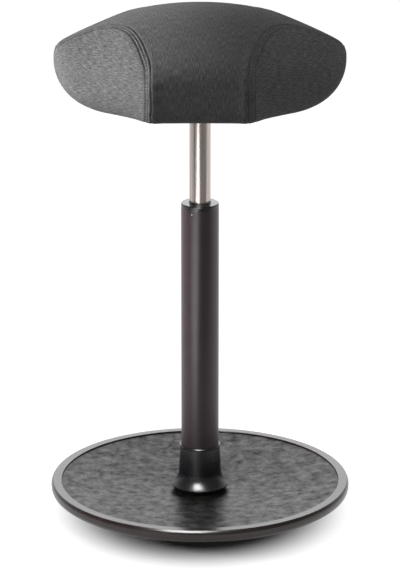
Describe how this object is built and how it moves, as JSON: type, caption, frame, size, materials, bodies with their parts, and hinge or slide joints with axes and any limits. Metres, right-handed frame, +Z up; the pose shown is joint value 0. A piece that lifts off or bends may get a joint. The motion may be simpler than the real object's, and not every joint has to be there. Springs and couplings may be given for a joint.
{
  "type": "wobble stool",
  "caption": "Height-adjustable wobble stool with a domed rocking base, a felt-lined dish, a gas-sprung swivel column with a release lever, and a crowned fabric seat.",
  "frame": {"origin": "on the floor under the middle of the base, at the middle of the sole's small flat", "axes": "+Z up along the column, -Y towards the front that the picture shows, +X towards the side of the release lever"},
  "size_m": [0.4004, 0.4004, 0.685],
  "materials": {
    "base_paint": "satin",
    "pan_plastic": "matte",
    "sole_rubber": "matte",
    "ballast_iron": "matte",
    "zinc_steel": "satin",
    "felt": "matte",
    "tube_paint": "satin",
    "plug_aluminium": "satin",
    "black_gloss": "gloss",
    "hard_steel": "polished",
    "cage_brass": "satin",
    "seal_rubber": "matte",
    "ring_plastic": "matte",
    "column_steel": "polished",
    "guide_plastic": "matte",
    "bracket_paint": "satin",
    "board_wood": "matte",
    "foam": "matte",
    "cover_fabric": "matte",
    "dust_fabric": "matte",
    "grip_plastic": "satin"
  },
  "bodies": {
    "base": {"base_dish": "base_paint", "rocker_pan": "pan_plastic", "rubber_sole": "sole_rubber", "ballast_plate": "ballast_iron", "pan_screws": "zinc_steel", "ballast_screws": "zinc_steel", "foot_bolts": "zinc_steel", "felt_inlay": "felt", "outer_tube": "tube_paint", "tube_foot_plug": "plug_aluminium", "guide_bush": "black_gloss", "bush_pin": "zinc_steel", "tube_collar": "black_gloss", "lower_race": "hard_steel"},
    "bearing_cage": {"ball_cage": "cage_brass", "bearing_balls": "hard_steel"},
    "rod": {"piston_rod": "hard_steel", "upper_race": "hard_steel", "thrust_washer": "zinc_steel", "rod_clip": "zinc_steel", "rubber_bumper": "seal_rubber", "piston": "plug_aluminium", "piston_ring": "ring_plastic", "piston_nut": "zinc_steel"},
    "seat": {"gas_column": "column_steel", "rod_guide": "guide_plastic", "rod_seal": "seal_rubber", "valve_body": "plug_aluminium", "column_socket": "bracket_paint", "seat_bracket": "bracket_paint", "lever_pin": "zinc_steel", "seat_board": "board_wood", "board_nuts": "zinc_steel", "seat_bolts": "zinc_steel", "seat_foam": "foam", "cover_left_panel": "cover_fabric", "cover_right_panel": "cover_fabric", "cover_centre_panel": "cover_fabric", "dust_cover": "dust_fabric"},
    "lever": {"release_lever": "zinc_steel", "lever_grip": "grip_plastic"},
    "valve": {"valve_pin": "hard_steel"}
  },
  "joints": [
    {"name": "seat_swivel", "type": "hinge", "parent": "base", "child": "rod", "pos_m": [0, 0, 0.048], "axis": [0, 0, 1], "continuous": true},
    {"name": "cage_swivel", "type": "hinge", "parent": "base", "child": "bearing_cage", "pos_m": [0, 0, 0.0445], "axis": [0, 0, 1], "continuous": true},
    {"name": "seat_lift", "type": "slide", "parent": "rod", "child": "seat", "axis": [0, 0, 1], "range_m": [-0.105, 0.16]},
    {"name": "lever_pull", "type": "hinge", "parent": "seat", "child": "lever", "pos_m": [0.042, 0, 0.556], "axis": [0, -1, 0], "range_deg": [0, 5], "stiffness_Nm_per_rad": 1, "springref_deg": -5.73},
    {"name": "valve_press", "type": "slide", "parent": "seat", "child": "valve", "axis": [0, 0, -1], "range_m": [0, 0.004]}
  ],
  "couplings": [
    {"joint": "cage_swivel", "follows": "seat_swivel", "ratio": 0.5},
    {"joint": "valve_press", "follows": "lever_pull", "m_per_rad": 0.045}
  ]
}
